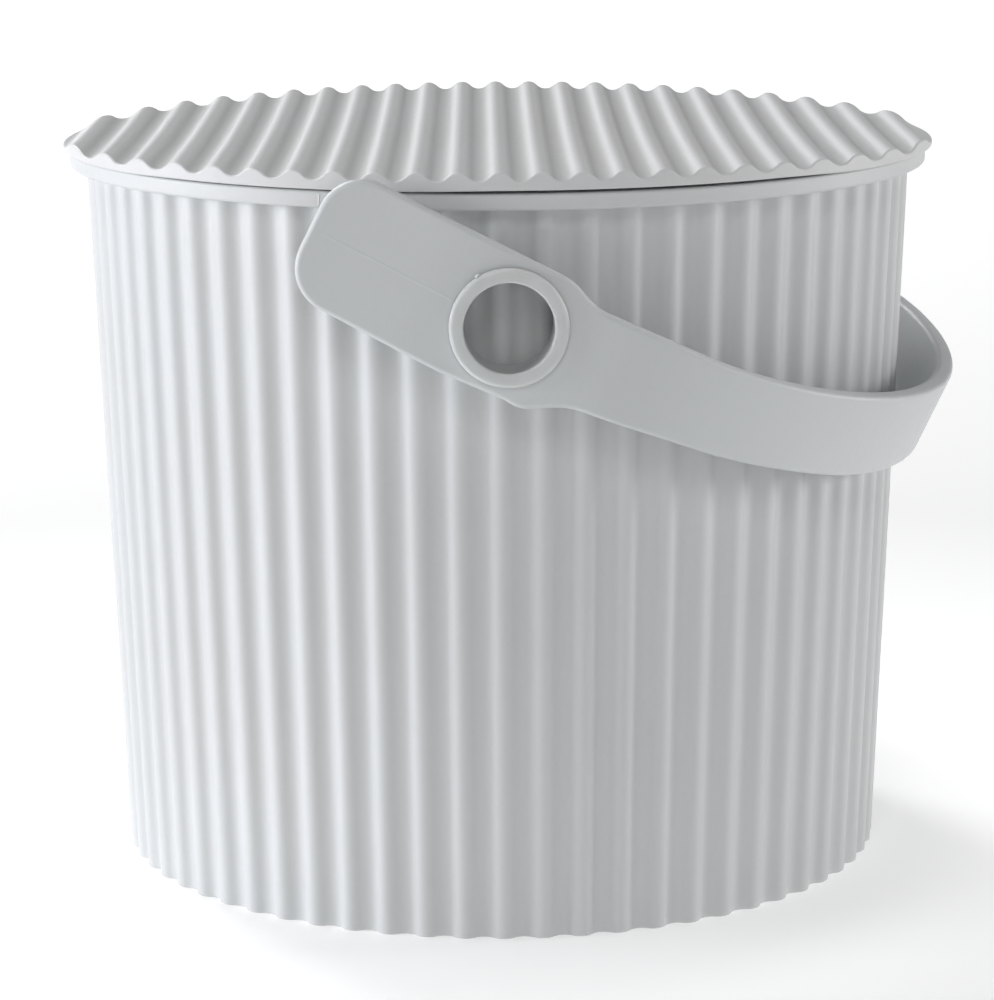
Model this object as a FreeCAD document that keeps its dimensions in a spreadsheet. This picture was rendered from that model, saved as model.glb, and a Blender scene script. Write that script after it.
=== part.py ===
import FreeCAD, Part
import math, os
from FreeCAD import Vector, Placement, Rotation

# Lidded round bucket: fluted tapering wall, corrugated dished lid, swing
# handle hung on two hollow pivot bushes.  Millimetres, base plane at z = 0,
# bucket axis on Z, pivot axis along Y, handle lying on the +X side.

doc = FreeCAD.newDocument("bucket")
sheet = doc.addObject("Spreadsheet::Sheet", "dims")
rows = [
    # wall
    ("rib_count", 64), ("rib_depth", 1.9), ("wall_thick", 2.2),
    ("base_crest_rad", 98.3), ("top_crest_rad", 105.05), ("wall_top", 178.0),
    ("wall_into_rim", 180.0), ("floor_under", 4.0), ("floor_top", 6.6),
    ("foot_inner_rad", 93.6),
    # rim band
    ("rim_rad", 109.3), ("rim_low", 178.0), ("rim_high", 182.0), ("rim_round", 0.7),
    ("rim_inner_rad", 102.0),
    # pivots
    ("pivot_height", 152.5), ("collar_rad", 14.4), ("collar_bore_rad", 12.3),
    ("collar_start", 95.0), ("collar_face", 112.9),
    ("bush_rad", 12.3), ("bush_bore_rad", 10.45), ("bush_tail", 107.4),
    ("flange_rad", 13.8), ("flange_back", 118.0), ("flange_front", 119.7),
    ("flange_round", 0.9), ("bore_round", 0.5),
    # lid
    ("lid_rad", 111.0), ("lid_pitch", 9.519), ("lid_wave", 2.0),
    ("lid_centre_crest", 185.43), ("lid_dish", 1.65), ("lid_thick", 2.1),
    ("lid_edge_low", 182.45), ("lid_edge_inner", 108.3), ("lid_ring_outer", 100.0),
    ("lid_ring_inner", 97.8), ("lid_ring_low", 173.5), ("lid_turn", -0.92),
    # handle
    ("loop_rad", 119.0), ("loop_flat", 0.7), ("band_thick", 4.4), ("plate_mid", 115.5),
    ("band_wide_arm", 21.9), ("band_wide_loop", 20.0), ("band_round", 1.2),
    ("lie_angle", 17.9), ("lie_twist", 6.7), ("loop_flare", 2.5), ("loop_lift", 2.0),
    ("arm_shift", 1.05), ("arm_end", 22.0), ("arm_root_more", 1.4),
    ("tail_half", 15.95), ("tail_long", 50.5), ("tail_root_more", 0.8),
    ("tail_corner", 10.5), ("tail_turn", 2.6), ("hinge_hole_rad", 12.6),
]
for i, (name, value) in enumerate(rows, start=1):
    sheet.set("A%d" % i, name)
    sheet.set("B%d" % i, str(value))
    sheet.setAlias("B%d" % i, name)
doc.recompute()


def dim(name):
    return float(sheet.get(name))


def feature(name, shape):
    obj = doc.addObject("Part::Feature", name)
    obj.Shape = shape
    return obj


def cylinder(name, rad, height, base=None, turn=None):
    obj = doc.addObject("Part::Cylinder", name)
    obj.setExpression("Radius", rad)
    obj.setExpression("Height", height)
    if turn is not None:
        obj.Placement = Placement(Vector(0, 0, 0), turn)
    for axis, expr in zip("xyz", base or (None, None, None)):
        if expr is not None:
            obj.setExpression("Placement.Base." + axis, expr)
    return obj


def cut(name, base, tool):
    obj = doc.addObject("Part::Cut", name)
    obj.Base, obj.Tool = base, tool
    return obj


def fuse(name, shapes):
    obj = doc.addObject("Part::MultiFuse", name)
    obj.Shapes = shapes
    return obj


def common(name, base, tool):
    obj = doc.addObject("Part::Common", name)
    obj.Base, obj.Tool = base, tool
    return obj


def fillet(name, base, radius, pick):
    doc.recompute()
    obj = doc.addObject("Part::Fillet", name)
    obj.Base = base
    obj.Edges = [(n, radius, radius) for n, e in enumerate(base.Shape.Edges, start=1) if pick(e)]
    return obj


def circle_at(edge, rad, **where):
    if not isinstance(edge.Curve, Part.Circle) or abs(edge.Curve.Radius - rad) > 1e-4:
        return False
    c = edge.Curve.Center
    return all(abs(getattr(c, k) - v) < 1e-4 for k, v in where.items())


# ---------------------------------------------------------------- fluted wall
def flute_wire(crest, z):
    # crest and valley arcs meeting on the mean radius, a crest on the -Y side
    n = int(dim("rib_count"))
    half = dim("rib_depth") / 2.0
    mean = crest - half
    step = 2 * math.pi / n

    def point(k, r):
        t = -math.pi / 2 + k * step
        return Vector(r * math.cos(t), r * math.sin(t), z)

    edges = []
    for k in range(n):
        a, b, c = point(k - 0.25, mean), point(k + 0.25, mean), point(k + 0.75, mean)
        edges.append(Part.Arc(a, point(k, mean + half), b).toShape())
        edges.append(Part.Arc(b, point(k + 0.5, mean - half), c).toShape())
    return Part.Wire(edges)


def crest_at(z):
    return dim("base_crest_rad") + (dim("top_crest_rad") - dim("base_crest_rad")) * z / dim("wall_top")


def flute_loft(name, z0, z1, inset):
    low = feature(name + "_low", flute_wire(crest_at(z0) - inset, z0))
    high = feature(name + "_high", flute_wire(crest_at(z1) - inset, z1))
    obj = doc.addObject("Part::Loft", name)
    obj.Sections = [low, high]
    obj.Solid = True
    obj.Ruled = True
    return obj


wall_outer = flute_loft("wall_outer", 0.0, dim("wall_into_rim"), 0.0)
wall_inner = flute_loft("wall_inner", dim("floor_top"), dim("rim_low") + 1.0, dim("wall_thick"))

rim_disc = cylinder("rim_disc", "dims.rim_rad", "dims.rim_high - dims.rim_low", (None, None, "dims.rim_low"))
rim_round = fillet("rim_soft", rim_disc, dim("rim_round"), lambda e: circle_at(e, dim("rim_rad")))
rim_mouth = cylinder("rim_mouth", "dims.rim_inner_rad", "dims.rim_high - dims.rim_low + 1",
                     (None, None, "dims.rim_low + 0.5"))
foot_space = cylinder("foot_space", "dims.foot_inner_rad", "dims.floor_under + 1", (None, None, "-1"))

to_front, to_back = Rotation(Vector(1, 0, 0), 90), Rotation(Vector(1, 0, 0), -90)
collars = []
for side, sign, turn in (("front", "-", to_front), ("back", "", to_back)):
    place = (None, sign + "dims.collar_start", "dims.pivot_height")
    body = cylinder("collar_body_" + side, "dims.collar_rad", "dims.collar_face - dims.collar_start", place, turn)
    bore = cylinder("collar_bore_" + side, "dims.collar_bore_rad", "dims.collar_face - dims.collar_start", place, turn)
    collars.append(cut("collar_" + side, body, bore))

blank = fuse("shell_blank", [wall_outer, rim_round] + collars)
hollow = cut("shell_hollow", blank, wall_inner)
mouth = cut("shell_mouth", hollow, rim_mouth)
bucket_shell = cut("bucket_shell", mouth, foot_space)

# ------------------------------------------------------------------------ lid
dish_rad = dim("lid_rad") ** 2 / (2 * dim("lid_dish"))


def lid_face(drop):
    # corrugation across X, closed well below by a straight line
    pitch, half = dim("lid_pitch"), dim("lid_wave") / 2.0
    top = dim("lid_centre_crest") - drop
    mid, low = top - half, top - 2 * half
    last = int((dim("lid_rad") - pitch / 2) // pitch)
    end = dim("lid_rad") + 2.0
    pts = lambda x, z: Vector(x, 0, z)
    edges = []
    x0 = -(last + 0.5) * pitch
    edges.append(Part.LineSegment(pts(-end, low), pts(x0, low)).toShape())
    quarter = pitch / 4

    def half_valley(xa, xb):
        # quarter-wave arc between a valley floor and the mean height
        xf, xm = (xa, xb) if abs(xa) > abs(xb) else (xb, xa)
        rad = (quarter ** 2 + half ** 2) / (2 * half)
        centre = pts(xf, low + rad)
        ang = math.atan2(quarter, rad - half) / 2 * (1 if xm > xf else -1)
        midp = pts(xf + rad * math.sin(ang), centre.z - rad * math.cos(ang))
        za, zb = (low, mid) if xf == xa else (mid, low)
        return Part.Arc(pts(xa, za), midp, pts(xb, zb)).toShape()

    edges.append(half_valley(x0, x0 + quarter))
    for i in range(-last, last + 1):
        x = i * pitch
        edges.append(Part.Arc(pts(x - quarter, mid), pts(x, top), pts(x + quarter, mid)).toShape())
        if i < last:
            edges.append(Part.Arc(pts(x + quarter, mid), pts(x + 2 * quarter, low), pts(x + 3 * quarter, mid)).toShape())
    x1 = (last + 0.5) * pitch
    edges.append(half_valley(x1 - quarter, x1))
    edges.append(Part.LineSegment(pts(x1, low), pts(end, low)).toShape())
    deep = dim("lid_ring_low") - 8.0
    edges.append(Part.LineSegment(pts(end, low), pts(end, deep)).toShape())
    edges.append(Part.LineSegment(pts(end, deep), pts(-end, deep)).toShape())
    edges.append(Part.LineSegment(pts(-end, deep), pts(-end, low)).toShape())
    return Part.Face(Part.Wire(edges))


def dished(name, drop):
    face = feature(name + "_profile", lid_face(drop))
    obj = doc.addObject("Part::Revolution", name)
    obj.Source = face
    obj.Axis = Vector(1, 0, 0)
    obj.Base = Vector(0, 0, dim("lid_centre_crest") + dish_rad)
    obj.Angle = 2 * math.degrees(math.asin((dim("lid_rad") + 3.0) / (dish_rad - 5.0)))
    obj.Symmetric = True
    obj.Solid = True
    return obj


lid_over = dished("lid_over", 0.0)
lid_under = dished("lid_under", dim("lid_thick"))
lid_disc = cylinder("lid_disc", "dims.lid_rad", "8", (None, None, "dims.lid_edge_low"))
lid_plug = cylinder("lid_plug", "dims.lid_ring_outer", "16", (None, None, "dims.lid_ring_low"))
lid_blank = common("lid_blank", fuse("lid_outline", [lid_disc, lid_plug]), lid_over)
gap_outer = cylinder("lid_gap_outer", "dims.lid_edge_inner", "10", (None, None, "dims.lid_edge_low - 2"))
gap_inner = cylinder("lid_gap_inner", "dims.lid_ring_outer", "12", (None, None, "dims.lid_edge_low - 3"))
lid_well = cylinder("lid_well", "dims.lid_ring_inner", "20", (None, None, "dims.lid_ring_low - 2"))
lid_spaces = fuse("lid_spaces", [cut("lid_gap", gap_outer, gap_inner), lid_well])
lid = cut("lid", lid_blank, common("lid_hollow", lid_spaces, lid_under))
lid.Placement = Placement(Vector(0, 0, 0), Rotation(Vector(0, 0, 1), dim("lid_turn")))

# --------------------------------------------------------------------- handle
# Local coordinates a (along the arm), y (across), h (square to the loop
# plane); each station is turned about the pivot axis by its own lie angle, so
# the soft band lies with the slight two-fold twist seen in the photograph.
loop, thick = dim("loop_rad"), dim("band_thick")


def lie(y):
    return math.radians(dim("lie_angle") - dim("lie_twist") * y / loop)


def turned(a, y, h, ang):
    return Vector(a * math.cos(ang) + h * math.sin(ang), y, -a * math.sin(ang) + h * math.cos(ang))


def ease(x):
    x = max(0.0, min(1.0, x))
    return x * x * (3 - 2 * x)


def band_width(a):
    # slightly wider where the arm leaves the end plate
    share = max(0.0, min(1.0, a / loop))
    wide = dim("band_wide_arm") + (dim("band_wide_loop") - dim("band_wide_arm")) * share
    return wide + dim("arm_root_more") * ease((52.0 - a) / 27.0)


def band_shift(a):
    return dim("arm_shift") * ease((58.0 - a) / 28.0) - dim("arm_root_more") / 2 * ease((52.0 - a) / 27.0)


def band_section(a, y, na, ny):
    ang = lie(y)
    wide = band_width(a)
    flare = math.radians(dim("loop_flare")) * max(0.0, (a - 30.0) / (loop - 30.0)) ** 2
    shift = band_shift(a) * (1 if y < 0 else -1)
    shift += dim("loop_lift") * ease((a - 50.0) / (loop - 50.0))
    e1 = Vector(na, ny, 0)
    e2 = Vector(math.sin(flare), 0, math.cos(flare))
    e2 = e2 - e1 * e2.dot(e1)
    e2.normalize()
    r, ht, hw = dim("band_round"), thick / 2, wide / 2
    k = r * (1 - math.sqrt(0.5))

    def at(u, w):
        p = Vector(a, y, shift) + e1 * u + e2 * w
        return turned(p.x, p.y, p.z, ang)

    seg = lambda p, q: Part.LineSegment(p, q).toShape()
    arc = lambda p, m, q: Part.Arc(p, m, q).toShape()
    edges = []
    for su, sw in ((1, 1), (-1, 1), (-1, -1), (1, -1)):
        if su == sw:
            p, q = at(su * ht, sw * (hw - r)), at(su * (ht - r), sw * hw)
        else:
            p, q = at(su * (ht - r), sw * hw), at(su * ht, sw * (hw - r))
        m = at(su * (ht - k), sw * (hw - k))
        edges.append(arc(p, m, q))
        if (su, sw) == (1, 1):
            edges.append(seg(q, at(-(ht - r), hw)))
        elif (su, sw) == (-1, 1):
            edges.append(seg(q, at(-ht, -(hw - r))))
        elif (su, sw) == (-1, -1):
            edges.append(seg(q, at(ht - r, -hw)))
        else:
            edges.append(seg(q, at(ht, hw - r)))
    return Part.Wire(edges)


stations = []
plate = dim("plate_mid")
for a in (dim("arm_end"), dim("arm_end") + 2.5):
    stations.append((a, -plate, 0.0, -1.0))
for deg in (71.5, 66, 58, 49, 39, 29, 19, 9.5):
    # the loop is a circle pressed in slightly at its far end
    t = math.radians(deg)
    c, s = math.cos(t), math.sin(t)
    rad, slope = loop - dim("loop_flat") * c ** 6, 6 * dim("loop_flat") * c ** 5 * s
    across = math.hypot(rad, slope)
    stations.append((rad * c, -rad * s, (rad * c + slope * s) / across, (-rad * s + slope * c) / across))
stations.append((loop - dim("loop_flat"), 0.0, 1.0, 0.0))
for a, y, na, ny in reversed(stations[:-1]):
    stations.append((a, -y, na, -ny))
sections = [feature("band_station_%02d" % i, band_section(*s)) for i, s in enumerate(stations)]
band = doc.addObject("Part::Loft", "band")
band.Sections = sections
band.Solid = True
band.Ruled = False


def end_plate(name, flip):
    # tail, round boss and arm root in one flat outline; flip = -1 for the back
    half, long_, corner = dim("tail_half"), dim("tail_long"), dim("tail_corner")
    tilt = math.radians(dim("tail_turn"))
    end = dim("arm_end")
    hw, mid_h = band_width(end), band_shift(end)
    up, dn = mid_h + hw / 2, mid_h - hw / 2
    ang = lie(flip * -plate)
    yy = flip * -plate

    def tail(s, w):
        # s runs along the tail away from the pivot, w across it
        return (-s * math.cos(tilt) + w * math.sin(tilt), s * math.sin(tilt) + w * math.cos(tilt))

    def at(p):
        return turned(p[0], yy - flip * thick / 2, flip * p[1], ang)

    seg = lambda p, q: Part.LineSegment(at(p), at(q)).toShape()
    arc = lambda p, m, q: Part.Arc(at(p), at(m), at(q)).toShape()
    q = corner * (1 - math.sqrt(0.5))

    def slide(p0, d0, p1, d1):
        # cubic blend leaving p0 along d0 and arriving at p1 along d1
        g = 0.45 * math.hypot(p1[0] - p0[0], p1[1] - p0[1])
        poles = [p0, (p0[0] + g * d0[0], p0[1] + g * d0[1]), (p1[0] - g * d1[0], p1[1] - g * d1[1]), p1]
        c = Part.BezierCurve()
        c.setPoles([at(p) for p in poles])
        return c.toShape()

    fwd = (math.cos(tilt), -math.sin(tilt))
    t_up, t_dn = tail(-5.5, half), tail(-6.5, -half - dim("tail_root_more"))
    edges = [
        seg(tail(long_ - corner, half), t_up),
        slide(t_up, fwd, (20.0, up), (1.0, 0.0)),
        seg((20.0, up), (end, up)),
        seg((end, up), (end, dn)),
        seg((end, dn), (21.0, dn)),
        slide((21.0, dn), (-1.0, 0.0), t_dn, (-fwd[0], -fwd[1])),
        seg(t_dn, tail(long_ - corner, -half)),
        arc(tail(long_ - corner, -half), tail(long_ - q, -half + q), tail(long_, -half + corner)),
        seg(tail(long_, -half + corner), tail(long_, half - corner)),
        arc(tail(long_, half - corner), tail(long_ - q, half - q), tail(long_ - corner, half)),
    ]
    hole = Part.Wire([Part.Circle(at((0.0, 0.0)), Vector(0, 1, 0), dim("hinge_hole_rad")).toShape()])
    base = feature(name + "_outline", Part.Face([Part.Wire(edges), hole], "Part::FaceMakerBullseye"))
    obj = doc.addObject("Part::Extrusion", name)
    obj.Base = base
    obj.DirMode = "Custom"
    obj.Dir = Vector(0, flip, 0)
    obj.LengthFwd = thick
    obj.setExpression("LengthFwd", "dims.band_thick")
    obj.Solid = True
    root = turned(end, yy, flip * mid_h, ang)
    along = turned(1, 0, 0, ang)

    def pick(e):
        mid = e.CenterOfMass
        if circle_at(e, dim("hinge_hole_rad")):
            return False
        if isinstance(e.Curve, Part.Line) and abs(e.tangentAt(e.FirstParameter).y) > 0.9:
            return False
        return abs((mid - root).dot(along)) > 1e-3

    return fillet(name + "_soft", obj, dim("band_round"), pick)


plates = [end_plate("plate_front", 1), end_plate("plate_back", -1)]
handle = fuse("handle", [band] + plates)
handle.Placement = Placement(Vector(0, 0, dim("pivot_height")), Rotation())

# --------------------------------------------------------------- pivot bushes
bushes = []
for side, turn in (("front", to_front), ("back", to_back)):
    tube = cylinder("bush_tube_" + side, "dims.bush_rad", "dims.flange_front - dims.bush_tail",
                    (None, None, "dims.bush_tail"))
    flange = cylinder("bush_flange_" + side, "dims.flange_rad", "dims.flange_front - dims.flange_back",
                      (None, None, "dims.flange_back"))
    solid = fuse("bush_solid_" + side, [tube, flange])
    bore = cylinder("bush_bore_" + side, "dims.bush_bore_rad", "dims.flange_front - dims.bush_tail + 2",
                    (None, None, "dims.bush_tail - 1"))
    raw = cut("bush_raw_" + side, solid, bore)
    front = dim("flange_front")
    outer = fillet("bush_outer_" + side, raw, dim("flange_round"),
                   lambda e: circle_at(e, dim("flange_rad"), z=front))
    bush = fillet("pivot_bush_" + side, outer, dim("bore_round"),
                  lambda e: circle_at(e, dim("bush_bore_rad"), z=front))
    bush.Placement = Placement(Vector(0, 0, dim("pivot_height")), turn)
    bushes.append(bush)

# ---------------------------------------------------------------------- write
doc.recompute()
parts = [bucket_shell, lid, handle] + bushes
for obj in doc.Objects:
    state = [str(s) for s in obj.State]
    if "Invalid" in state or "Error" in state:
        raise RuntimeError("%s is %s" % (obj.Name, state))
os.makedirs("parts", exist_ok=True)
for obj in parts:
    obj.Label = obj.Name
    shape = obj.Shape
    if shape.isNull() or not shape.isValid() or len(shape.Solids) != 1:
        raise RuntimeError("%s: solids %d valid %s" % (obj.Name, len(shape.Solids), shape.isValid()))
    box = shape.BoundBox
    print("%-18s vol %9.1f cm3 %7.2f  box %7.2f %7.2f | %7.2f %7.2f | %7.2f %7.2f faces %d" % (
        obj.Label, shape.Volume, shape.Volume / 1000.0, box.XMin, box.XMax, box.YMin, box.YMax, box.ZMin, box.ZMax, len(shape.Faces)))
    shape.exportStep(os.path.join("parts", obj.Label + ".step"))
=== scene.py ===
import bpy, bmesh, math
import numpy as np
from mathutils import Matrix, Vector


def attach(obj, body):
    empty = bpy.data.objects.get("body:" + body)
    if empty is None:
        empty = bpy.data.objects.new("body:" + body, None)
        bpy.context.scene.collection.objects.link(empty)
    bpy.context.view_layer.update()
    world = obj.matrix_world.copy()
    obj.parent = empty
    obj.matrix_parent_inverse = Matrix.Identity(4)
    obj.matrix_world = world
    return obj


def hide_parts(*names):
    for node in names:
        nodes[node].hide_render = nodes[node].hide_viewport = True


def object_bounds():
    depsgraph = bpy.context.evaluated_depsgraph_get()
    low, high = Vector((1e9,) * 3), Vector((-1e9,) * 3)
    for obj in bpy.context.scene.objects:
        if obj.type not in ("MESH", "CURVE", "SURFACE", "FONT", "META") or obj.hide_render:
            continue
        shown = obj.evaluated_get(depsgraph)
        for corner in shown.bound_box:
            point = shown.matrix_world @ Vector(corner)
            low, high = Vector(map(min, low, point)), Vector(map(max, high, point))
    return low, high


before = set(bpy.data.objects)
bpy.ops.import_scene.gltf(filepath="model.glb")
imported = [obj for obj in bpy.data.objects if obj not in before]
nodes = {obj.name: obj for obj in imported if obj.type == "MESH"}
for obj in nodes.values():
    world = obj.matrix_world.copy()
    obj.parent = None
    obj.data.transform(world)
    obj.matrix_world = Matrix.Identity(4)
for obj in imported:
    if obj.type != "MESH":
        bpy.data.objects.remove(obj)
cad_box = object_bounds()
scene = bpy.context.scene
MM = 0.001

# ==================================================================== camera
CAM_DIST, CAM_HIGH = 0.944764, 0.285978
PITCH, YAW, ROLL = math.radians(11.849), math.radians(-0.039), math.radians(-0.345)
TURN = math.radians(1.18)

fwd = Vector((math.sin(YAW) * math.cos(PITCH), math.cos(YAW) * math.cos(PITCH), -math.sin(PITCH)))
right = Vector((math.cos(YAW), -math.sin(YAW), 0.0))
up = right.cross(fwd)
r2 = math.cos(ROLL) * right + math.sin(ROLL) * up
u2 = -math.sin(ROLL) * right + math.cos(ROLL) * up
spin = Matrix.Rotation(-TURN, 3, "Z")
axes = [spin @ r2, spin @ u2, spin @ (-fwd)]
cam_data = bpy.data.cameras.new("camera")
cam_data.sensor_width = 36.0
cam_data.lens = 3679.39 / 1000.0 * 36.0
cam_data.clip_start, cam_data.clip_end = 0.05, 60.0
cam = bpy.data.objects.new("camera", cam_data)
cam.matrix_world = Matrix.Translation(spin @ Vector((0.0, -CAM_DIST, CAM_HIGH))) @ Matrix(
    [[axes[c][r] for c in range(3)] + [0.0] for r in range(3)] + [[0.0, 0.0, 0.0, 1.0]])
scene.collection.objects.link(cam)
scene.camera = cam


# ============================================================== mesh helpers
def piece(name, verts, faces, mat, body, sharp=38.0):
    """Closed mesh in millimetres, smooth shaded with its hard corners kept."""
    mesh = bpy.data.meshes.new(name)
    mesh.from_pydata([tuple(v) for v in np.asarray(verts, float) * MM], [], faces)
    bm = bmesh.new()
    bm.from_mesh(mesh)
    bmesh.ops.remove_doubles(bm, verts=bm.verts, dist=1e-7)
    bmesh.ops.dissolve_degenerate(bm, edges=bm.edges, dist=1e-8)
    bmesh.ops.recalc_face_normals(bm, faces=bm.faces)
    limit = math.radians(sharp)
    for f in bm.faces:
        f.smooth = True
    for e in bm.edges:
        e.smooth = not (len(e.link_faces) == 2 and e.calc_face_angle(0.0) > limit)
    bm.to_mesh(mesh)
    bm.free()
    mesh.materials.append(mat)
    obj = bpy.data.objects.new(name, mesh)
    scene.collection.objects.link(obj)
    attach(obj, body)
    return obj


class Skin:
    """Collects rows of points and joins neighbouring rows with quads."""

    def __init__(self):
        self.v, self.f = [], []

    def row(self, pts):
        first = len(self.v)
        self.v.extend(pts)
        return list(range(first, len(self.v)))

    def join(self, a, b, closed=True):
        n = len(a)
        for i in range(n if closed else n - 1):
            k = (i + 1) % n
            self.f.append((a[i], a[k], b[k], b[i]))

    def cap(self, a, centre):
        first = len(self.v)
        self.v.append(centre)
        for i in range(len(a)):
            self.f.append((a[i], a[(i + 1) % len(a)], first))


def arc_wave(s, quarter, half):
    """Height of a wave of equal circular arcs; s is the place in pitches from a crest."""
    s = np.abs(s - np.round(s))
    rad = (quarter ** 2 + half ** 2) / (2 * half)
    u = np.where(s < 0.25, s, 0.5 - s) * 4 * quarter
    h = np.sqrt(np.maximum(rad * rad - u * u, 0.0)) - (rad - half)
    return np.where(s < 0.25, h, -h)


def bend(n):
    """Angles of a quarter turn in n steps."""
    return [math.pi / 2 * k / n for k in range(n + 1)]


# ================================================================= materials
def plastic(name, colour, rough, grain, draw=0.0):
    """Satin moulded plastic: faint flow clouds and specks in the colour, an
    uneven gloss, a fine spark-eroded grain and, on a drawn wall, ejection streaks."""
    mat = bpy.data.materials.new(name)
    mat.use_nodes = True
    nt = mat.node_tree
    new, link = nt.nodes.new, nt.links.new
    bsdf = nt.nodes["Principled BSDF"]
    coord = new("ShaderNodeTexCoord")

    def noise(scale, detail, stretch=None, shift=0.0):
        src = coord.outputs["Object"]
        if stretch or shift:
            m = new("ShaderNodeMapping")
            m.inputs["Scale"].default_value = stretch or (1, 1, 1)
            m.inputs["Location"].default_value = (shift, 0.4 * shift, -shift)
            link(src, m.inputs["Vector"])
            src = m.outputs["Vector"]
        n = new("ShaderNodeTexNoise")
        n.inputs["Scale"].default_value = scale
        n.inputs["Detail"].default_value = detail
        n.inputs["Roughness"].default_value = 0.55
        link(src, n.inputs["Vector"])
        return n.outputs["Fac"]

    def remap(fac, lo, hi):
        m = new("ShaderNodeMapRange")
        m.interpolation_type = "SMOOTHSTEP"
        m.inputs["From Min"].default_value, m.inputs["From Max"].default_value = 0.3, 0.7
        m.inputs["To Min"].default_value, m.inputs["To Max"].default_value = lo, hi
        link(fac, m.inputs["Value"])
        return m.outputs["Result"]

    def blend(fac, one, two):
        m = new("ShaderNodeMix")
        m.data_type = "RGBA"
        link(fac, m.inputs[0])
        for sock, val in ((m.inputs[6], one), (m.inputs[7], two)):
            if isinstance(val, tuple):
                sock.default_value = (*val, 1.0)
            else:
                link(val, sock)
        return m.outputs[2]

    def tone(k, cool=0.0):
        return tuple(min(1.0, c * k * (1.0 + d * cool)) for c, d in zip(colour, (-1.0, 0.0, 1.0)))

    cloud = blend(remap(noise(17.0, 3.0, None, 0.37), 0.0, 1.0), tone(0.982, -0.004), tone(1.016, 0.005))
    speck = blend(remap(noise(780.0, 2.0), 0.0, 1.0), tone(0.985), tone(1.015))
    both = new("ShaderNodeMix")
    both.data_type = "RGBA"
    both.inputs[0].default_value = 0.4
    link(cloud, both.inputs[6])
    link(speck, both.inputs[7])
    link(both.outputs[2], bsdf.inputs["Base Color"])
    link(remap(noise(430.0, 3.0, None, 1.3), rough - 0.05, rough + 0.06), bsdf.inputs["Roughness"])

    def bump(height, strength, distance, after=None):
        m = new("ShaderNodeBump")
        m.inputs["Strength"].default_value = strength
        m.inputs["Distance"].default_value = distance
        link(height, m.inputs["Height"])
        if after:
            link(after, m.inputs["Normal"])
        return m.outputs["Normal"]

    normal = bump(noise(55.0, 2.0, None, 2.1), 0.22, 0.0004)
    if draw:
        normal = bump(noise(420.0, 2.0, (1.0, 1.0, 0.02)), draw, 0.00006, normal)
    normal = bump(noise(1750.0, 2.0), grain, 0.00005, normal)
    link(normal, bsdf.inputs["Normal"])
    return mat


shell_mat = plastic("shell_plastic", (0.609, 0.621, 0.625), 0.47, 0.30, 0.25)
lid_mat = plastic("lid_plastic", (0.640, 0.645, 0.649), 0.50, 0.42)
handle_mat = plastic("handle_plastic", (0.590, 0.609, 0.616), 0.46, 0.30)
bush_mat = plastic("bush_plastic", (0.590, 0.606, 0.603), 0.42, 0.26)
# the bushes are of a slightly translucent grade: light bleeds into their hollows
soft = bush_mat.node_tree.nodes["Principled BSDF"].inputs
soft["Subsurface Weight"].default_value = 0.8
soft["Subsurface Radius"].default_value = (1.0, 1.0, 1.0)
soft["Subsurface Scale"].default_value = 0.004
for name, mat in (("bucket_shell", shell_mat), ("lid", lid_mat), ("handle", handle_mat),
                  ("pivot_bush_front", bush_mat), ("pivot_bush_back", bush_mat)):
    mesh = nodes[name].data
    mesh.materials.clear()
    mesh.materials.append(mat)

# ======================================================================= lid
LID_RAD, PITCH_X, CREST, DISH = 111.0, 9.519, 185.43, 1.65
DISH_RAD = LID_RAD ** 2 / (2 * DISH)
LID_LOW, LID_THICK = 182.45, 2.1


def lid_top(x, y, drop=0.0):
    prof = CREST - 1.0 + np.where(np.abs(x) < 11.5 * PITCH_X, arc_wave(x / PITCH_X, PITCH_X / 4, 1.0), -1.0)
    over = CREST + DISH_RAD
    return over - np.sqrt((over - prof + drop) ** 2 - y * y)


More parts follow.
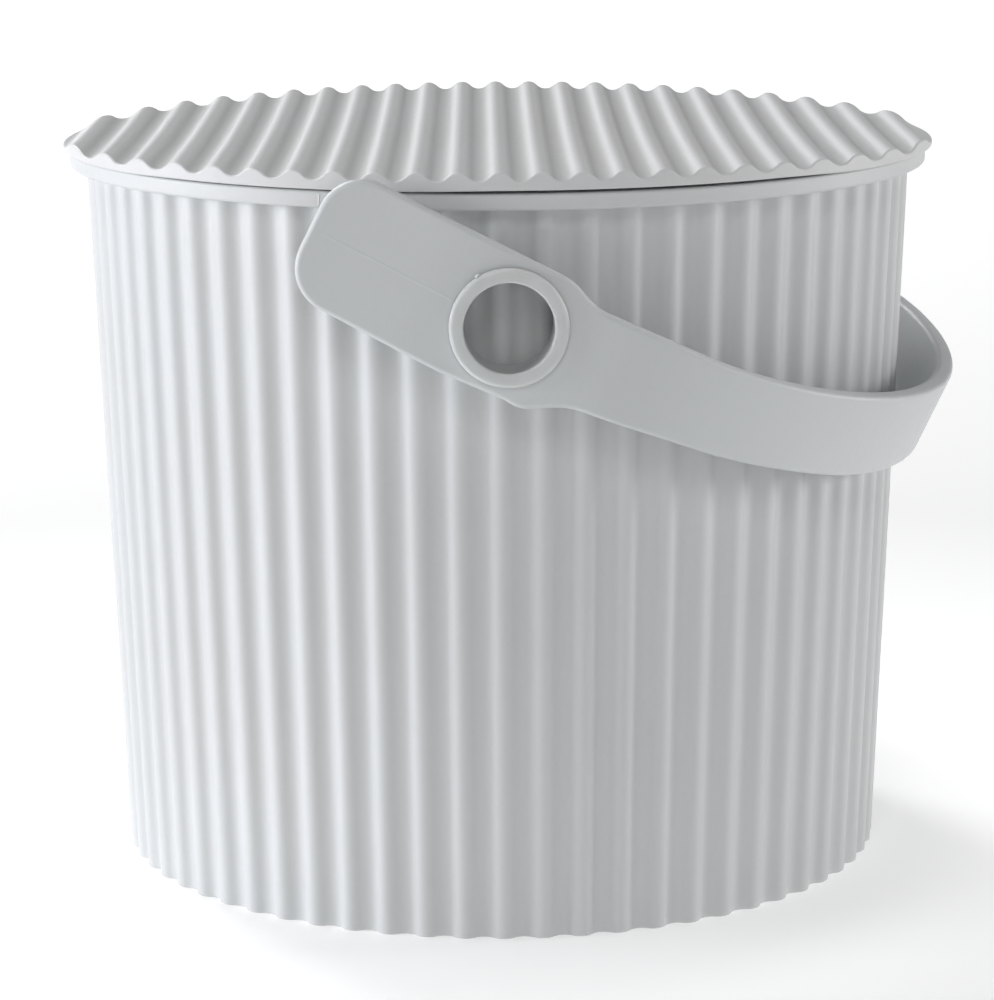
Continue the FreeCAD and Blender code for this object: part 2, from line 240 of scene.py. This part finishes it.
def build_lid():
    soft = 0.5
    rt = LID_RAD - soft
    cols = set(np.round(np.arange(-11.5, 11.5001, 1 / 16.0) * PITCH_X, 5))
    cols |= set(np.round(rt * np.cos(np.radians(np.arange(0, 24.1, 0.75))), 5))
    cols |= set(np.round(-rt * np.cos(np.radians(np.arange(0, 24.1, 0.75))), 5))
    xs = np.array(sorted(c for c in cols if abs(c) <= rt))
    keep = [0]
    for i in range(1, len(xs)):
        if xs[i] - xs[keep[-1]] > (0.12 if abs(xs[i]) < rt - 1.5 else 0.004):
            keep.append(i)
    xs = xs[keep]
    xs[0], xs[-1] = -rt, rt
    m = len(xs) - 1
    phis = np.concatenate([-np.arccos(np.clip(xs / rt, -1, 1)), np.arccos(np.clip(xs[-2:0:-1] / rt, -1, 1))])
    skin = Skin()

    def disc(rad, rows, height):
        # grid along the corrugation, its ends drawn to the two tips of the disc
        t = np.sin(np.pi / 2 * np.linspace(-1, 1, rows + 1))
        x = xs * rad / rt
        half = np.sqrt(np.maximum(rad * rad - x * x, 0.0))
        ids = []
        for i in range(m + 1):
            if i in (0, m):
                one = skin.row([(x[i], 0.0, float(height(x[i], 0.0)))])[0]
                ids.append([one] * (rows + 1))
            else:
                y = t * half[i]
                z = height(np.full_like(y, x[i]), y)
                ids.append(skin.row(list(zip(np.full_like(y, x[i]), y, z))))
        for i in range(m):
            for j in range(rows):
                quad = [ids[i][j], ids[i + 1][j], ids[i + 1][j + 1], ids[i][j + 1]]
                face = [q for k, q in enumerate(quad) if q not in quad[:k]]
                if len(face) > 2:
                    skin.f.append(tuple(face))
        return [ids[i][0] for i in range(m + 1)] + [ids[i][rows] for i in range(m - 1, 0, -1)]

    c, s = np.cos(phis), np.sin(phis)

    def ring(rad, z):
        z = np.broadcast_to(z, phis.shape)
        return skin.row(list(zip(rad * c, rad * s, z)))

    edge = disc(rt, 72, lid_top)
    rim_z = lid_top(rt * c, rt * s)
    rows = [edge]
    for a in bend(5)[1:]:
        rows.append(ring(rt + soft * math.sin(a), rim_z - soft * (1 - math.cos(a))))
    def near(centre, full, fade):
        off = np.abs((np.degrees(phis) - centre + 180.0) % 360.0 - 180.0)
        k = np.clip((full + fade - off) / fade, 0.0, 1.0)
        return k * k * (3 - 2 * k)

    # the moulding is warped a little: its edge stands off the rim at the front and sits closer at both sides
    low_z = LID_LOW + 0.36 * near(-72.0, 17.0, 14.0) - 0.27 * near(-15.0, 22.0, 12.0) - 0.24 * near(-165.0, 20.0, 12.0)
    rows.append(ring(LID_RAD, rim_z - soft - 0.03))
    rows.append(ring(LID_RAD, low_z + 0.42))
    for a in bend(4):
        rows.append(ring(LID_RAD - 0.4 * (1 - math.cos(a)), low_z + 0.4 * (1 - math.sin(a))))
    rows.append(ring(LID_RAD - 0.45, low_z))
    rows.append(ring(108.5, low_z))
    rows.append(ring(108.3, low_z + 0.02))

    def under(rad):
        return np.maximum(low_z + 0.02, lid_top(rad * c, rad * s, LID_THICK))

    rows.append(ring(108.25, under(108.25)))
    for rad in (107.0, 105.5, 104.0, 102.5, 101.2, 100.6):
        rows.append(ring(rad, under(rad)))
    for a in bend(3):
        rows.append(ring(100.0 + 0.4 * (1 - math.sin(a)), under(100.2) - 0.4 * (1 - math.cos(a))))
    rows.append(ring(100.0, 174.6))
    for a in bend(4):
        rows.append(ring(99.4 + 0.6 * math.cos(a), 174.1 - 0.6 * math.sin(a)))
    for a in bend(4):
        rows.append(ring(98.4 - 0.6 * math.sin(a), 174.1 - 0.6 * math.cos(a)))
    rows.append(ring(97.8, 174.6))
    inner = lid_top(97.2 * c, 97.2 * s, LID_THICK)
    for a in bend(3):
        rows.append(ring(97.8 - 0.5 * (1 - math.cos(a)), inner - 0.5 * (1 - math.sin(a))))
    low = disc(97.2, 40, lambda x, y: lid_top(x, y, LID_THICK))
    rows.append(low)
    for a, b in zip(rows, rows[1:]):
        skin.join(a, b)
    turn = Matrix.Rotation(math.radians(-0.92), 3, "Z")
    pts = np.array(skin.v) @ np.array(turn).T
    pts[:, 0] = np.clip(pts[:, 0], cad_box[0][0] / MM + 0.001, cad_box[1][0] / MM)
    return piece("lid_top", pts, skin.f, lid_mat, "lid")


lid_obj = build_lid()
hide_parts("lid")

# ===================================================================== shell
RIBS, RIB_DEEP, WALL = 64, 1.9, 2.2
RIM_RAD, RIM_LOW, RIM_HIGH, MOUTH = 109.3, 178.0, 182.0, 102.0
PIVOT = 152.5
FLUTE_TURN = 0.15   # part of a flute by which the crests stand aside of the pivot axis


def build_shell():
    n = RIBS * 18
    th = -math.pi / 2 + 2 * math.pi * np.arange(n) / n
    c, s = np.cos(th), np.sin(th)
    place = RIBS * np.arange(n) / n + FLUTE_TURN
    skin = Skin()

    def wall(z, inset=0.0):
        mean = 98.3 + 6.75 * z / 178.0 - inset - RIB_DEEP / 2
        return mean + arc_wave(place, mean * math.sin(math.pi / 2 / RIBS), RIB_DEEP / 2)

    def ring(rad, z):
        rad, z = np.broadcast_to(rad, th.shape), np.broadcast_to(z, th.shape)
        return skin.row(list(zip(rad * c, rad * s, z)))

    rows = []
    # inside, from the middle of the floor outwards and up to the mouth
    for rad in (6.0, 20.0, 45.0, 70.0, 88.0):
        rows.append(ring(rad, 6.6))
    first = rows[0]
    inner0 = wall(6.6, WALL)
    rows.append(ring(inner0 - 1.55, 6.6))
    for a in bend(5):
        rows.append(ring(wall(8.1, WALL) - 1.5 * (1 - math.sin(a)), 8.1 - 1.5 * math.cos(a)))
    for z in (8.2, 20, 40, 60, 80, 100, 120, 140, 160, 172, 177.6):
        rows.append(ring(wall(z, WALL), z))
    for k in (0.25, 0.5, 0.75):
        w = k * k * (3 - 2 * k)
        rows.append(ring(wall(178.0, WALL) * (1 - w) + MOUTH * w, 177.6 + 1.4 * k))
    rows.append(ring(MOUTH, 179.1))
    rows.append(ring(MOUTH, RIM_HIGH - 0.62))
    for a in bend(4):
        rows.append(ring(MOUTH + 0.6 * (1 - math.cos(a)), RIM_HIGH - 0.6 * (1 - math.sin(a))))
    rows.append(ring(MOUTH + 0.65, RIM_HIGH))
    rows.append(ring(RIM_RAD - 0.75, RIM_HIGH))
    for a in bend(5):
        rows.append(ring(RIM_RAD - 0.7 * (1 - math.sin(a)), RIM_HIGH - 0.7 * (1 - math.cos(a))))
    rows.append(ring(RIM_RAD, RIM_HIGH - 0.75))
    rows.append(ring(RIM_RAD, RIM_LOW + 0.75))
    for a in bend(5):
        rows.append(ring(RIM_RAD - 0.7 * (1 - math.cos(a)), RIM_LOW + 0.7 * (1 - math.sin(a))))
    rows.append(ring(RIM_RAD - 0.75, RIM_LOW))
    top = wall(177.4)
    for a in bend(4):
        rows.append(ring(top + 0.6 * (1 - math.sin(a)), 177.4 + 0.6 * math.cos(a)))
    for z in (177.3, 172, 160, 140, 120, 100, 80, 60, 40, 20, 8, 2, 0.66):
        rows.append(ring(wall(z), z))
    foot = wall(0.6)
    for a in bend(4):
        rows.append(ring(foot - 0.6 * (1 - math.cos(a)), 0.6 * (1 - math.sin(a))))
    rows.append(ring(foot - 0.65, 0.0))
    rows.append(ring(94.25, 0.0))
    for a in bend(4):
        rows.append(ring(93.6 + 0.6 * (1 - math.sin(a)), 0.6 * (1 - math.cos(a))))
    rows.append(ring(93.6, 0.65))
    rows.append(ring(93.6, 2.95))
    for a in bend(4):
        rows.append(ring(93.6 - 1.0 * (1 - math.cos(a)), 3.0 + 1.0 * math.sin(a)))
    for rad in (92.5, 80.0, 60.0, 40.0, 20.0, 6.0):
        rows.append(ring(rad, 4.0))
    for a, b in zip(rows, rows[1:]):
        skin.join(a, b)
    skin.cap(first, (0.0, 0.0, 6.6))
    skin.cap(rows[-1], (0.0, 0.0, 4.0))

    # round collars for the pivots, rooted in the wall
    k = 96
    for side in (-1, 1):
        t = 2 * math.pi * np.arange(k) / k
        prof = []
        root = 102.03
        for rad, y in ((12.3, None), (12.3, 112.5)) + tuple(
                (12.3 + 0.4 * (1 - math.cos(a)), 112.5 + 0.4 * math.sin(a)) for a in bend(3)[1:]) + (
                (13.7, 112.9),) + tuple(
                (14.4 - 0.6 * (1 - math.sin(a)), 112.9 - 0.6 * (1 - math.cos(a))) for a in bend(3)[1:]) + (
                (14.4, 112.2), (14.4, None)):
            x, z = rad * np.cos(t), rad * np.sin(t)
            yy = np.sqrt(root ** 2 - x * x) if y is None else np.full(k, y)
            prof.append(skin.row(list(zip(x, side * yy, PIVOT + z))))
        for a, b in zip(prof, prof[1:] + prof[:1]):
            skin.join(a, b)
    return piece("bucket_body", skin.v, skin.f, shell_mat, "bucket")


shell_obj = build_shell()
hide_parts("bucket_shell")

# ==================================================================== handle
LOOP, BAND_WIDE = 119.0, 20.0
BOW_AT = np.linspace(0.0, 60.0, 241)


def soft_step(x):
    x = np.clip(x, 0.0, 1.0)
    return x * x * (3 - 2 * x)


bow_slope = 0.10 * soft_step((BOW_AT - 13.0) / 14.0) * (1 - 0.4 * soft_step((BOW_AT - 36.0) / 12.0))
BOW = np.concatenate([[0.0], np.cumsum((bow_slope[1:] + bow_slope[:-1]) / 2 * np.diff(BOW_AT))])


def bow(s):
    """How far a tail bends in towards the bucket at s along it from the pivot."""
    return np.interp(s, BOW_AT, BOW)


def build_handle():
    """The handle as it lies: tails bent in slightly, the soft end of its band
    leaning towards the wall at its lower edge."""
    mesh = nodes["handle"].data.copy()
    mesh.name = "handle_band"
    bm = bmesh.new()
    bm.from_mesh(mesh)
    bmesh.ops.remove_doubles(bm, verts=bm.verts, dist=1e-7)
    # cross cuts through the flat tails, so that they can bend
    tail = Vector((-math.cos(math.radians(17.9)), 0.0, math.sin(math.radians(17.9))))
    for cut in np.arange(12.0, 51.0, 1.5):
        bmesh.ops.bisect_plane(bm, geom=bm.verts[:] + bm.edges[:] + bm.faces[:], dist=1e-7,
                               plane_co=Vector((0.0, 0.0, PIVOT * MM)) + tail * float(cut) * MM, plane_no=tail)
    bmesh.ops.dissolve_degenerate(bm, edges=bm.edges, dist=1e-8)
    co = np.array([v.co[:] for v in bm.verts]) / MM
    x, y, z = co[:, 0], co[:, 1], co[:, 2] - PIVOT
    ang = np.radians(17.9 - 6.7 * y / LOOP)
    a, h = x * np.cos(ang) - z * np.sin(ang), x * np.sin(ang) + z * np.cos(ang)
    # under the round end the outline runs flatter than two plain curves would have it
    side = np.where(y < 0, 1.0, -1.0)
    down = -side * h
    flat = np.abs(y) > 112.0
    h = h + side * flat * (1.2 * np.exp(-((a - 4.9) / 4.6) ** 2) * np.clip((down - 12.7) / 1.8, 0.0, 1.0)
                           - 1.1 * np.exp(-((a - 16.6) / 4.6) ** 2) * np.clip((down - 7.5) / 3.0, 0.0, 1.0))
    k = soft_step((a - 72.0) / 40.0)
    low = np.clip((BAND_WIDE / 2 + 2.0 - h) / BAND_WIDE, 0.0, 1.0)
    lean = k * (0.35 + 2.3 * low)
    h = h - 1.75 * k * low
    far = np.maximum(np.hypot(a, y), 1.0)
    a, y = a - lean * a / far, y - lean * y / far + side * flat * bow(np.maximum(-a, 0.0))
    co = np.stack([a * np.cos(ang) + h * np.sin(ang), y, PIVOT - a * np.sin(ang) + h * np.cos(ang)], 1) * MM
    for v, p in zip(bm.verts, co):
        v.co = p
    for f in bm.faces:
        f.smooth = True
    for e in bm.edges:
        e.smooth = not (len(e.link_faces) == 2 and e.calc_face_angle(0.0) > math.radians(30.0))
    bm.to_mesh(mesh)
    bm.free()
    if "custom_normal" in mesh.attributes:
        mesh.attributes.remove(mesh.attributes["custom_normal"])
    obj = bpy.data.objects.new("handle_band", mesh)
    scene.collection.objects.link(obj)
    # broad faces keep their own normals beside the rounded edges
    even = obj.modifiers.new("even", "WEIGHTED_NORMAL")
    even.keep_sharp = True
    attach(obj, "handle")
    return obj


handle_obj = build_handle()
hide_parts("handle")

# ============================================================= small details
def turn_up(a, y, h, ang):
    """Handle's own coordinates (along the arm, across, square to it) to the frame."""
    return (a * math.cos(ang) + h * math.sin(ang), y, PIVOT - a * math.sin(ang) + h * math.cos(ang))


def build_seam(name, flip):
    """Mould line down the middle of a tail: a low ridge that fades out at both ends."""
    ang = math.radians(17.9 + flip * 6.7 * 115.5 / 119.0)
    tilt = math.radians(2.6)
    steps, across = 46, (-0.42, -0.26, -0.11, 0.0, 0.11, 0.26, 0.42)
    high = (0.0, 0.25, 0.85, 1.0, 0.85, 0.25, 0.0)
    skin, top, low = Skin(), [], []
    for i in range(steps + 1):
        k = i / steps
        s = 14.3 + (49.2 - 14.3) * k
        fade = min(1.0, 6.0 * (1.0 - k) + 0.02) * (0.8 + 0.2 * math.cos(9.0 * k))
        rows = ([], [])
        for w, hgt in zip(across, high):
            a, h = -s * math.cos(tilt) + w * math.sin(tilt), s * math.sin(tilt) + w * math.cos(tilt)
            for row, out in zip(rows, (117.69 + 0.06 * hgt * fade + 0.01 - bow(-a), 117.55 - bow(-a))):
                row.append(turn_up(a, -flip * out, flip * h, ang))
        top.append(skin.row(rows[0]))
        low.append(skin.row(rows[1]))
    n = len(across)
    for i in range(steps):
        for j in range(n - 1):
            skin.f.append((top[i][j], top[i + 1][j], top[i + 1][j + 1], top[i][j + 1]))
            skin.f.append((low[i][j], low[i][j + 1], low[i + 1][j + 1], low[i + 1][j]))
        for j in (0, n - 1):
            skin.f.append((top[i][j], low[i][j], low[i + 1][j], top[i + 1][j]))
    for i in (0, steps):
        for j in range(n - 1):
            skin.f.append((top[i][j], top[i][j + 1], low[i][j + 1], low[i][j]))
    return piece(name, skin.v, skin.f, handle_mat, "handle", 60.0)


build_seam("handle_seam_front", 1)
build_seam("handle_seam_back", -1)


def build_stub(name, base, axis, side, prof, mat, body, squeeze=1.0, count=20):
    """Small turned stub on a surface: prof lists (radius, height) from its root to its tip."""
    base, axis, side = Vector(base), Vector(axis).normalized(), Vector(side).normalized()
    other = axis.cross(side)
    skin, rows = Skin(), []
    for rad, hgt in prof:
        pts = []
        for i in range(count):
            t = 2 * math.pi * i / count
            ragged = 1.0 + 0.07 * math.sin(3 * t + 7 * hgt) + 0.04 * math.cos(5 * t)
            pts.append(tuple(base + axis * hgt + side * (rad * ragged * math.cos(t)) + other * (rad * squeeze * ragged * math.sin(t))))
        rows.append(skin.row(pts))
    for a, b in zip(rows, rows[1:]):
        skin.join(a, b)
    skin.cap(rows[0], tuple(base + axis * prof[0][1]))
    skin.cap(rows[-1], tuple(base + axis * (prof[-1][1] + 0.02)))
    return piece(name, skin.v, skin.f, mat, body, 50.0)


# broken-off gate on the edge of each bush's flange
gate = math.radians(120.4)
for name, s in (("bush_gate_front", -1), ("bush_gate_back", 1)):
    out = (math.cos(gate), 0.0, math.sin(gate))
    build_stub(name, (13.8 * out[0], s * 118.75, PIVOT + 13.8 * out[2]), out, (0, 1, 0),
               ((0.52, -0.5), (0.52, 0.05), (0.46, 0.3), (0.36, 0.46), (0.22, 0.54), (0.1, 0.57)),
               bush_mat, "bucket", 1.5)


def build_rim_mark(name, deg):
    """Upright witness line across the rim band where the mould halves meet."""
    skin, rows = Skin(), []
    heights = (178.55, 178.75, 179.1, 179.6, 180.1, 180.6, 181.0, 181.2, 181.35)
    lift = (0.0, 0.5, 0.9, 1.0, 1.0, 1.0, 0.9, 0.5, 0.0)
    across = (-0.3, -0.18, -0.07, 0.0, 0.07, 0.18, 0.3)
    high = (0.0, 0.3, 0.85, 1.0, 0.85, 0.3, 0.0)
    for z, up_ in zip(heights, lift):
        rows.append(([], []))
        for w, h in zip(across, high):
            t = math.radians(deg) + w / RIM_RAD
            for row, rad in zip(rows[-1], (RIM_RAD + 0.005 + 0.13 * h * up_, RIM_RAD - 0.15)):
                row.append((rad * math.cos(t), rad * math.sin(t), z))
    rows = [(skin.row(a), skin.row(b)) for a, b in rows]
    n = len(across)
    for (t0, l0), (t1, l1) in zip(rows, rows[1:]):
        for j in range(n - 1):
            skin.f.append((t0[j], t1[j], t1[j + 1], t0[j + 1]))
            skin.f.append((l0[j], l0[j + 1], l1[j + 1], l1[j]))
        for j in (0, n - 1):
            skin.f.append((t0[j], l0[j], l1[j], t1[j]))
    for t0, l0 in (rows[0], rows[-1]):
        for j in range(n - 1):
            skin.f.append((t0[j], t0[j + 1], l0[j + 1], l0[j]))
    return piece(name, skin.v, skin.f, shell_mat, "bucket", 60.0)


build_rim_mark("rim_mark_front", -113.3)
build_rim_mark("rim_mark_back", 66.7)

# gate pips in the middle of the base's underside and of the lid's underside
build_stub("base_gate", (0, 0, 4.0), (0, 0, -1), (1, 0, 0),
           ((4.2, -0.4), (4.2, 0.25), (3.9, 0.55), (2.2, 0.6), (1.9, 0.75), (1.7, 1.3), (1.2, 1.5), (0.5, 1.55)),
           shell_mat, "bucket", 1.0, 32)
build_stub("lid_gate", (0, 0, 183.6), (0, 0, -1), (1, 0, 0),
           ((1.9, -0.2), (1.9, 0.6), (1.75, 0.85), (1.45, 0.95), (1.3, 1.5), (0.95, 1.75), (0.4, 1.85)),
           lid_mat, "lid", 1.0, 32)

# ============================================================== floor, light
def build_floor():
    """Pale sweep: a matt floor with painted light: it glows faintly in front, glows more round the object, where the
    glow washes out its shadow, and glows more so towards the back.
    """
    s = 14.0
    mesh = bpy.data.meshes.new("floor")
    mesh.from_pydata([(-s, -s, 0), (s, -s, 0), (s, s, 0), (-s, s, 0)], [], [(0, 1, 2, 3)])
    obj = bpy.data.objects.new("floor", mesh)
    scene.collection.objects.link(obj)
    mat = bpy.data.materials.new("floor_pale")
    mat.use_nodes = True
    nt = mat.node_tree
    bsdf = nt.nodes["Principled BSDF"]
    bsdf.inputs["Base Color"].default_value = (0.85, 0.85, 0.85, 1)
    bsdf.inputs["Roughness"].default_value = 0.9
    bsdf.inputs["Specular IOR Level"].default_value = 0.2
    bsdf.inputs["Emission Color"].default_value = (1, 1, 1, 1)
    coord = nt.nodes.new("ShaderNodeTexCoord")
    part = nt.nodes.new("ShaderNodeSeparateXYZ")
    reach = nt.nodes.new("ShaderNodeVectorMath")
    reach.operation = "LENGTH"
    near = nt.nodes.new("ShaderNodeMath")
    near.operation = "ADD"
    total = nt.nodes.new("ShaderNodeMath")
    total.operation = "ADD"

    def ramp(value, lo, hi, out_lo, out_hi, sock):
        node = nt.nodes.new("ShaderNodeMapRange")
        for k, v in (("From Min", lo), ("From Max", hi), ("To Min", out_lo), ("To Max", out_hi)):
            node.inputs[k].default_value = v
        nt.links.new(value, node.inputs["Value"])
        nt.links.new(node.outputs["Result"], sock)

    nt.links.new(coord.outputs["Object"], part.inputs[0])
    nt.links.new(coord.outputs["Object"], reach.inputs[0])
    # painted light: the floor's glow rises towards the back, where the lamps reach it less
    ramp(part.outputs["Y"], -0.25, 2.6, 0.08, 0.85, near.inputs[0])
    # painted light: a glow round the object's foot that washes out its shadow on the floor
    ramp(reach.outputs["Value"], 0.15, 0.42, 0.26, 0.0, near.inputs[1])
    nt.links.new(near.outputs[0], total.inputs[0])
    # painted light: the far floor glows brighter still
    ramp(reach.outputs["Value"], 2.4, 4.0, 0.0, 0.75, total.inputs[1])
    nt.links.new(total.outputs[0], bsdf.inputs["Emission Strength"])
    mesh.materials.append(mat)


build_floor()
world = bpy.data.worlds.new("studio")
scene.world = world
world.use_nodes = True
world.node_tree.nodes["Background"].inputs["Color"].default_value = (1.0, 1.0, 1.0, 1.0)
world.node_tree.nodes["Background"].inputs["Strength"].default_value = 0.10


def softbox(name, az, el, dist, side, power, colour):
    """Square soft light; az 0 is the camera's side, minus is to its left."""
    data = bpy.data.lights.new(name, "AREA")
    data.shape = "RECTANGLE"
    data.size, data.size_y = side, side
    data.energy = power
    data.color = colour
    obj = bpy.data.objects.new(name, data)
    a, e = math.radians(az), math.radians(el)
    back = Vector((math.sin(a) * math.cos(e), -math.cos(a) * math.cos(e), math.sin(e)))
    obj.location = Vector((0, 0, 0.1)) + back * dist
    obj.rotation_mode = "QUATERNION"
    obj.rotation_quaternion = (-back).to_track_quat("-Z", "Y")
    obj.visible_camera = False
    scene.collection.objects.link(obj)


COOL, PLAIN, WARM = (0.945, 0.957, 1.0), (1.0, 1.0, 1.0), (1.0, 0.985, 0.985)
softbox("key", -75, 8, 4.0, 1.1, 38.0, COOL)
softbox("key_side", -90, 8, 4.0, 1.1, 65.0, COOL)
softbox("key_back", -105, 8, 4.0, 1.1, 33.0, COOL)
softbox("fill_side", 80, 8, 4.0, 1.1, 8.5, WARM)
softbox("fill_back", 100, 8, 4.0, 1.1, 43.5, WARM)
softbox("fill_near", 97, 8, 1.4, 0.4, 0.9, WARM)
softbox("front_top", -5, 34, 1.4, 0.4, 2.7, PLAIN)
softbox("front_low", 10, 8, 4.0, 1.1, 10.4, PLAIN)
softbox("front_left", -12, 8, 4.0, 1.1, 2.4, PLAIN)
softbox("overhead", 0, 88, 1.4, 0.4, 4.3, PLAIN)
softbox("back_left", -150, 34, 1.4, 0.4, 2.7, PLAIN)
softbox("back_far", -150, 34, 4.0, 1.1, 43.5, PLAIN)
scene.view_settings.view_transform = "Standard"
